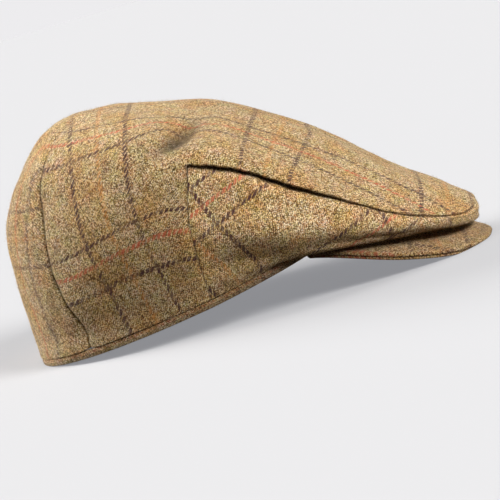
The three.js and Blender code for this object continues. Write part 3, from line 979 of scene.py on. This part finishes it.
def blurNoise(tree, place, scale, detail=2.0):
    return put(tree, "ShaderNodeTexNoise", {"Vector": place, "Scale": scale, "Detail": detail}).outputs


yarnLook = {"swayScale": 0.8, "sway": 0.9, "reliefEdge": 0.75, "reliefTop": 0.1}


# Mixed yarns seen float by float: a random pick and tint for each, and its rounded height
def makeYarnGroup():
    inputs = {"Place": ("vector", None), "Grain": ("value", 1.0)}
    outputs = {"Pick": "value", "Tint": "value", "Relief": "value"}
    tree, given, result = makeGroup("mixedYarn", inputs, outputs)
    finer = maths(tree, "DIVIDE", 1.0, given["Grain"])
    place = scaled(tree, given["Place"], finer)
    sway = blurNoise(tree, place, yarnLook["swayScale"])["Color"]
    place = vectorMaths(tree, "MULTIPLY_ADD", sway, (yarnLook["sway"],) * 3, place)
    cells = put(tree, "ShaderNodeTexVoronoi", {"Vector": place, "Scale": 1.0, "Randomness": 1.0}).outputs
    parts = put(tree, "ShaderNodeSeparateColor", {0: cells["Color"]}).outputs
    tree.links.new(parts[0], result["Pick"])
    tree.links.new(parts[1], result["Tint"])
    relief = remap(tree, cells["Distance"], yarnLook["reliefEdge"], yarnLook["reliefTop"])
    tree.links.new(relief, result["Relief"])
    return tree


twillLook = {"pitch": 1.55, "swayScale": 0.7, "sway": 2.0}


# Diagonal ribs of the twill
def makeTwillGroup():
    inputs = {"Cloth": ("vector", None), "Pitch": ("value", twillLook["pitch"])}
    tree, given, result = makeGroup("twillRibs", inputs, {"Rib": "value"})
    parts = put(tree, "ShaderNodeSeparateXYZ", {0: given["Cloth"]}).outputs
    sway = blurNoise(tree, given["Cloth"], twillLook["swayScale"])["Fac"]
    sway = maths(tree, "MULTIPLY", sway, twillLook["sway"])
    diagonal = maths(tree, "ADD", maths(tree, "ADD", parts["X"], parts["Y"]), sway)
    turn = maths(tree, "MULTIPLY", maths(tree, "DIVIDE", diagonal, given["Pitch"]), 2 * math.pi)
    rib = maths(tree, "MULTIPLY_ADD", maths(tree, "SINE", turn), 0.5, 0.5)
    tree.links.new(rib, result["Rib"])
    return tree


# The check, its sizes in millimetres of cloth
windowpane = {"threadPeriod": 79, "threadGap": 13, "crossPeriod": 104, "crossGap": 16.5, "width": 2.55,
              "dash": 3.5, "fill": 0.66, "faintest": 0.6, "faintBelow": 0.4, "sway": 1.6, "swayScale": 0.13,
              "ragged": 1.1, "raggedScale": 0.8}


# Traditional windowpane check: pairs of dark lines with a red or an orange one between them, each woven as
# short slanted dashes
def makeCheckGroup():
    inputs = {"Cloth": ("vector", None)}
    outputs = {"Dark": "value", "Red": "value", "Orange": "value"}
    tree, given, result = makeGroup("windowpane", inputs, outputs)
    moved = given["Cloth"]
    for size, scale in (("sway", "swayScale"), ("ragged", "raggedScale")):
        sway = blurNoise(tree, given["Cloth"], windowpane[scale])["Color"]
        sway = vectorMaths(tree, "SUBTRACT", sway, (0.5, 0.5, 0.5))
        moved = vectorMaths(tree, "MULTIPLY_ADD", sway, (windowpane[size],) * 3, moved)
    parts = put(tree, "ShaderNodeSeparateXYZ", {0: moved}).outputs
    cross, thread = parts["X"], parts["Y"]
    masks = {}
    for label, own, other, period, gap in (
            ("thread", thread, cross, windowpane["threadPeriod"], windowpane["threadGap"]),
            ("cross", cross, thread, windowpane["crossPeriod"], windowpane["crossGap"])):
        near = maths(tree, "WRAP", own, period / 2, -period / 2)
        steps = maths(tree, "DIVIDE", maths(tree, "ADD", other, near), windowpane["dash"])
        dash = spanWithin(tree, maths(tree, "FRACT", steps), 0.5, windowpane["fill"])
        random = put(tree, "ShaderNodeTexWhiteNoise", {"W": maths(tree, "FLOOR", steps)},
                     noise_dimensions="1D").outputs["Value"]
        faint = remap(tree, random, 0.0, windowpane["faintBelow"], windowpane["faintest"], 1.0)
        dash = maths(tree, "MULTIPLY", dash, faint)
        pair = spanWithin(tree, maths(tree, "ABSOLUTE", near), gap, windowpane["width"])
        middle = spanWithin(tree, near, 0.0, windowpane["width"])
        masks[label + "Dark"] = maths(tree, "MULTIPLY", pair, dash)
        masks[label + "Bright"] = maths(tree, "MULTIPLY", middle, dash)
    tree.links.new(maths(tree, "MAXIMUM", masks["threadDark"], masks["crossDark"]), result["Dark"])
    tree.links.new(masks["threadBright"], result["Red"])
    tree.links.new(masks["crossBright"], result["Orange"])
    return tree


yarnColours = [
    {"pick": 0.00, "colour": (0.060, 0.030, 0.012, 1)},
    {"pick": 0.17, "colour": (0.165, 0.098, 0.038, 1)},
    {"pick": 0.36, "colour": (0.360, 0.245, 0.110, 1)},
    {"pick": 0.58, "colour": (0.530, 0.380, 0.195, 1)},
    {"pick": 0.80, "colour": (0.740, 0.580, 0.365, 1)},
    {"pick": 1.00, "colour": (0.980, 0.900, 0.740, 1)},
]
tintColours = [
    {"pick": 0.00, "colour": (0.46, 0.50, 0.14, 1)},
    {"pick": 0.22, "colour": (0.74, 0.54, 0.16, 1)},
    {"pick": 0.42, "colour": (0.60, 0.52, 0.36, 1)},
    {"pick": 0.60, "colour": (0.72, 0.42, 0.28, 1)},
    {"pick": 0.80, "colour": (0.48, 0.42, 0.50, 1)},
    {"pick": 1.00, "colour": (0.40, 0.44, 0.28, 1)},
]
lineRows = [
    {"line": "Orange", "colour": (0.76, 0.30, 0.065, 1), "strength": 0.5},
    {"line": "Red", "colour": (0.66, 0.125, 0.070, 1), "strength": 0.8},
    {"line": "Dark", "colour": (0.066, 0.020, 0.031, 1), "strength": 0.97},
]
tweedLook = {
    "detail": 3.0,
    "fineGrain": 0.45,
    "fineShare": 0.28,
    "ribShare": 0.24,
    "contrast": 1.62,
    "middle": 0.51,
    "tintShare": 0.40,
    "cloudShare": 0.38,
    "cloudScale": 0.16,
    "patchScale": 0.055,
    "patchSpan": (0.42, 0.66),
    "patchColour": (0.95, 0.66, 0.22, 1),
    "lilacScale": 0.038,
    "lilacSpan": (0.55, 0.72),
    "lilacShare": 0.35,
    "lilacColour": (0.84, 0.78, 0.86, 1),
    "wornScale": 0.09,
    "wornSpan": (0.34, 0.52),
    "wornLeast": 0.62,
    "coveredSpan": (1.0, 0.85),
    "coveredLeast": 0.5,
    "paintedShadeColour": (0.020, 0.011, 0.006, 1),
    "yarnHeight": 0.6,
    "fineHeight": 0.25,
    "ribHeight": 0.5,
}


def ramp(tree, value, rows):
    node = put(tree, "ShaderNodeValToRGB", {0: value})
    stops = node.color_ramp.elements
    while len(stops) < len(rows):
        stops.new(0.5)
    for stop, row in zip(stops, rows):
        stop.position = row["pick"]
        stop.color = row["colour"]
    return node.outputs["Color"]


# The whole tweed: yarns, patches where one yarn gathers, check lines, twill relief and painted shade at
# seams, creases and shaded patches
def makeTweedGroup(yarnGroup, twillGroup, checkGroup):
    inputs = {"Cloth": ("vector", None), "Check Show": ("value", 1.0), "Painted Shade": ("value", 0.0),
              "Grain": ("value", 1.0), "Golden": ("value", 0.3), "Tone": ("colour", (1, 1, 1, 1))}
    tree, given, result = makeGroup("tweedCloth", inputs, {"Colour": "colour", "Height": "value"})
    look = tweedLook

    def spots(place, scale, span, least=0.0, detail=2.0):
        return remap(tree, blurNoise(tree, place, look[scale], detail)["Fac"], *look[span], least)

    def times(first, second):
        return maths(tree, "MULTIPLY", first, second)

    def timesPlus(first, second, third):
        return maths(tree, "MULTIPLY_ADD", first, second, third)

    place = scaled(tree, put(tree, "ShaderNodeTexCoord").outputs["Object"], 1 / mm)
    yarn = useGroup(tree, yarnGroup, {"Place": place, "Grain": given["Grain"]})
    fine = useGroup(tree, yarnGroup, {"Place": place, "Grain": times(given["Grain"], look["fineGrain"])})
    rib = useGroup(tree, twillGroup, {"Cloth": given["Cloth"]})["Rib"]
    pick = timesPlus(fine["Pick"], look["fineShare"], times(yarn["Pick"], 1 - look["fineShare"]))
    pick = timesPlus(rib, look["ribShare"], maths(tree, "SUBTRACT", pick, look["ribShare"] / 2))
    pick = timesPlus(maths(tree, "SUBTRACT", pick, 0.5), look["contrast"], look["middle"])
    colour = ramp(tree, pick, yarnColours)
    colour = blend(tree, look["tintShare"], colour, ramp(tree, yarn["Tint"], tintColours), "OVERLAY")
    cloud = blurNoise(tree, place, look["cloudScale"], look["detail"])["Color"]
    colour = blend(tree, look["cloudShare"], colour, cloud, "OVERLAY")
    golden = times(spots(place, "patchScale", "patchSpan"), given["Golden"])
    colour = blend(tree, golden, colour, look["patchColour"], "MULTIPLY")
    lilac = times(spots(place, "lilacScale", "lilacSpan", detail=look["detail"]), look["lilacShare"])
    colour = blend(tree, lilac, colour, look["lilacColour"], "MULTIPLY")
    check = useGroup(tree, checkGroup, {"Cloth": given["Cloth"]})
    worn = spots(given["Cloth"], "wornScale", "wornSpan", look["wornLeast"], look["detail"])
    covered = remap(tree, fine["Pick"], *look["coveredSpan"], look["coveredLeast"])
    show = times(times(worn, given["Check Show"]), covered)
    for row in lineRows:
        share = times(times(check[row["line"]], show), row["strength"])
        colour = blend(tree, share, colour, row["colour"])
    # Painted shade: the cloth is mixed towards a near-black colour by the painted shade share
    colour = blend(tree, given["Painted Shade"], colour, look["paintedShadeColour"])
    colour = blend(tree, 1.0, colour, given["Tone"], "MULTIPLY")
    height = timesPlus(yarn["Relief"], look["yarnHeight"], times(fine["Relief"], look["fineHeight"]))
    height = timesPlus(rib, look["ribHeight"], height)
    tree.links.new(colour, result["Colour"])
    tree.links.new(height, result["Height"])
    return tree


tweedGroup = makeTweedGroup(makeYarnGroup(), makeTwillGroup(), makeCheckGroup())


woolLook = {"roughness": 0.92, "gloss": 0.18, "bump": 0.9, "bumpHeight": 0.45 * mm, "sheen": 0.22,
            "sheenRoughness": 0.55, "sheenTint": (1.0, 0.86, 0.68, 1), "grain": 0.57, "hairRoughness": 0.8,
            "hairGloss": 0.2}


def newMaterial(name, roughness, gloss):
    material = bpy.data.materials.new(name)
    material.use_nodes = True
    surface = material.node_tree.nodes["Principled BSDF"]
    surface.inputs["Roughness"].default_value = roughness
    surface.inputs["Specular IOR Level"].default_value = gloss
    return material, material.node_tree, surface


def makeTweed(row):
    material, tree, surface = newMaterial(row["name"], woolLook["roughness"], woolLook["gloss"])
    cloth = put(tree, "ShaderNodeUVMap", uv_map="cloth").outputs["UV"]
    show = put(tree, "ShaderNodeAttribute", attribute_name="checkShow").outputs["Fac"]
    shade = put(tree, "ShaderNodeAttribute", attribute_name="seamShade").outputs["Fac"]
    tweed = useGroup(tree, tweedGroup, {"Cloth": cloth, "Check Show": show, "Painted Shade": shade,
                                        "Grain": woolLook["grain"], "Golden": row["golden"],
                                        "Tone": row["tone"]})
    raised = put(tree, "ShaderNodeBump", {"Height": tweed["Height"], "Strength": woolLook["bump"],
                                          "Distance": woolLook["bumpHeight"]})
    tree.links.new(tweed["Colour"], surface.inputs["Base Color"])
    tree.links.new(raised.outputs["Normal"], surface.inputs["Normal"])
    surface.inputs["Sheen Weight"].default_value = woolLook["sheen"]
    surface.inputs["Sheen Roughness"].default_value = woolLook["sheenRoughness"]
    surface.inputs["Sheen Tint"].default_value = woolLook["sheenTint"]
    return material


def makeHairWool():
    material, tree, surface = newMaterial("looseWool", woolLook["hairRoughness"], woolLook["hairGloss"])
    tone = put(tree, "ShaderNodeAttribute", attribute_name="hairTone").outputs["Fac"]
    tree.links.new(ramp(tree, tone, yarnColours), surface.inputs["Base Color"])
    return material


# Each piece's tone sets its brightness on the one tweed: the side panels' lighter tone is painted light, the
# peak's darker tone painted shade
tweedRows = [
    {"slot": "tweed", "name": "crownTweed", "golden": 0.45, "tone": (0.98, 0.915, 0.80, 1)},
    {"slot": "tweed_bias", "name": "sideTweed", "golden": 0.40, "tone": (1.18, 1.125, 1.03, 1)},
    {"slot": "hem", "name": "hemTweed", "golden": 0.40, "tone": (0.92, 0.86, 0.77, 1)},
    {"slot": "peak", "name": "peakTweed", "golden": 0.30, "tone": (0.71, 0.61, 0.50, 1)},
]
tweeds = {row["slot"]: makeTweed(row) for row in tweedRows}
looseWool = makeHairWool()
print("stage: materials ready")


def dress(piece, node, slot):
    piece.data.materials.append(tweeds[slot])
    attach(piece, "root")
    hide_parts(node)


crown = makeCrown(crownPiece)
rightSide = makeSidePanel("rightSideCloth", -1, sidePiece)
leftSide = makeSidePanel("leftSideCloth", 1, sidePiece)
hem = makeHem(hemPiece)
peakTop = makePeakCover("peakTopCover", 0, 0, 1, peakPieces)
peakUnder = makePeakCover("peakUnderCover", peak["wall"] + cut["seamGap"], peak["edgeStep"], 0, peakPieces)
dress(crown, "crown_top", "tweed")
dress(rightSide, "side_panel_right", "tweed_bias")
dress(leftSide, "side_panel_left", "tweed_bias")
dress(hem, "rim_band", "hem")
dress(peakTop, "peak_upper", "peak")
dress(peakUnder, "peak_lower", "peak")
print("stage: cloth pieces", {o.name: len(o.data.polygons) for o in (crown, rightSide, hem, peakTop)})

hairLook = {"length": 1.9 * mm, "lengthSpread": 0.35, "rise": 0.75, "leastRise": 0.08, "curl": 0.35,
            "thick": 0.055 * mm, "outerShare": 0.5}
hemHairLook = {**hairLook, "length": 1.6 * mm, "outerShare": 1.0}
hairRows = [
    {"name": "crownHairs", "source": crown, "look": hairLook, "count": 42000, "slot": "tweed"},
    {"name": "rightSideHairs", "source": rightSide, "look": hairLook, "count": 11000, "slot": "tweed_bias"},
    {"name": "leftSideHairs", "source": leftSide, "look": hairLook, "count": 11000, "slot": "tweed_bias"},
    {"name": "hemHairs", "source": hem, "look": hemHairLook, "count": 5000, "slot": "hem"},
    {"name": "peakTopHairs", "source": peakTop, "look": hairLook, "count": 6000, "slot": "peak"},
    {"name": "peakUnderHairs", "source": peakUnder, "look": hemHairLook, "count": 5000, "slot": "peak"},
]
for seed, row in enumerate(hairRows):
    hairs = makeHairs(row["name"], row["source"], row["look"], row["count"], 100 + seed)
    hairs.data.materials.append(looseWool)
    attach(hairs, "root")
print("stage: loose wool", sum(row["count"] for row in hairRows))


# Studio: a wide pale floor under soft lamps. The lamps and the room see the floor and the walls darker than
# the camera does, as with black cloths laid round the cap.
studio = {
    "half": 60.0,
    "floorSeen": (0.36, 0.362, 0.37, 1),
    "floorLit": (0.08, 0.068, 0.055, 1),
    "glowSeen": (0.265, 0.268, 0.285, 1),
    "glowLit": (0, 0, 0, 1),
    "roomSeen": (0.847, 0.839, 0.855, 1),
    "roomLit": (0.075, 0.072, 0.068, 1),
}
lampRows = [
    {"name": "topLamp", "from": (-0.25, -0.05, 0.95), "power": 1.25, "wide": 40, "colour": (1, 0.985, 0.96)},
    {"name": "rearLamp", "from": (-0.85, 0.45, 0.28), "power": 5.4, "wide": 45, "colour": (1, 0.98, 0.95)},
    {"name": "frontLamp", "from": (0.62, -0.53, 0.58), "power": 3.7, "wide": 30, "colour": (1, 0.98, 0.95)},
]


def seenOrLit(tree, part, socket):
    rays = put(tree, "ShaderNodeLightPath").outputs["Is Camera Ray"]
    tree.links.new(blend(tree, rays, studio[part + "Lit"], studio[part + "Seen"]), socket)


def makeFloor():
    half = studio["half"]
    corners = np.array([(-half, -half, 0), (half, -half, 0), (half, half, 0), (-half, half, 0)])
    floor = makePiece("studioFloor", corners, [[0, 1, 2, 3]], {}, smoothed=False)
    material, tree, surface = newMaterial("palePaper", 1, 0)
    seenOrLit(tree, "floor", surface.inputs["Base Color"])
    seenOrLit(tree, "glow", surface.inputs["Emission Color"])
    surface.inputs["Emission Strength"].default_value = 1
    floor.data.materials.append(material)


def makeLamp(row):
    light = bpy.data.lights.new(row["name"], "SUN")
    light.energy = row["power"]
    light.angle = math.radians(row["wide"])
    light.color = row["colour"]
    lamp = addObject(row["name"], light)
    lamp.location = row["from"]
    lamp.rotation_euler = (-Vector(row["from"])).to_track_quat("-Z", "Y").to_euler()


makeFloor()
for row in lampRows:
    makeLamp(row)
world = bpy.data.worlds.new("softRoom")
bpy.context.scene.world = world
world.use_nodes = True
seenOrLit(world.node_tree, "room", world.node_tree.nodes["Background"].inputs["Color"])
bpy.context.scene.view_settings.view_transform = "Standard"

# The photograph's view: from the cap's right side, a little above it, the cap tilted back in the frame
view = {"distance": 1250 * mm, "perPixel": 0.59 * mm, "frame": 500, "rise": math.radians(8),
        "tilt": math.radians(16.44), "aimX": -1.5 * mm, "aimZ": 28.4 * mm, "sensor": 36, "farEnd": 30}


def makeCamera():
    rise, tilt = view["rise"], view["tilt"]
    back = Vector((math.sin(rise) * math.sin(tilt), -math.cos(rise), math.sin(rise) * math.cos(tilt)))
    upward = Vector((math.cos(rise) * math.sin(tilt), math.sin(rise), math.cos(rise) * math.cos(tilt)))
    rightward = Vector((math.cos(tilt), 0, -math.sin(tilt)))
    aim = Vector((view["aimX"] + cadShift[0], 0, view["aimZ"]))
    lens = bpy.data.cameras.new("photoCamera")
    lens.sensor_width = view["sensor"]
    lens.lens = view["distance"] / view["perPixel"] / view["frame"] * view["sensor"]
    lens.clip_end = view["farEnd"]
    camera = addObject("photoCamera", lens)
    turned = Matrix((rightward, upward, back)).transposed().to_4x4()
    turned.translation = aim + back * view["distance"]
    camera.matrix_world = turned
    bpy.context.scene.camera = camera


makeCamera()
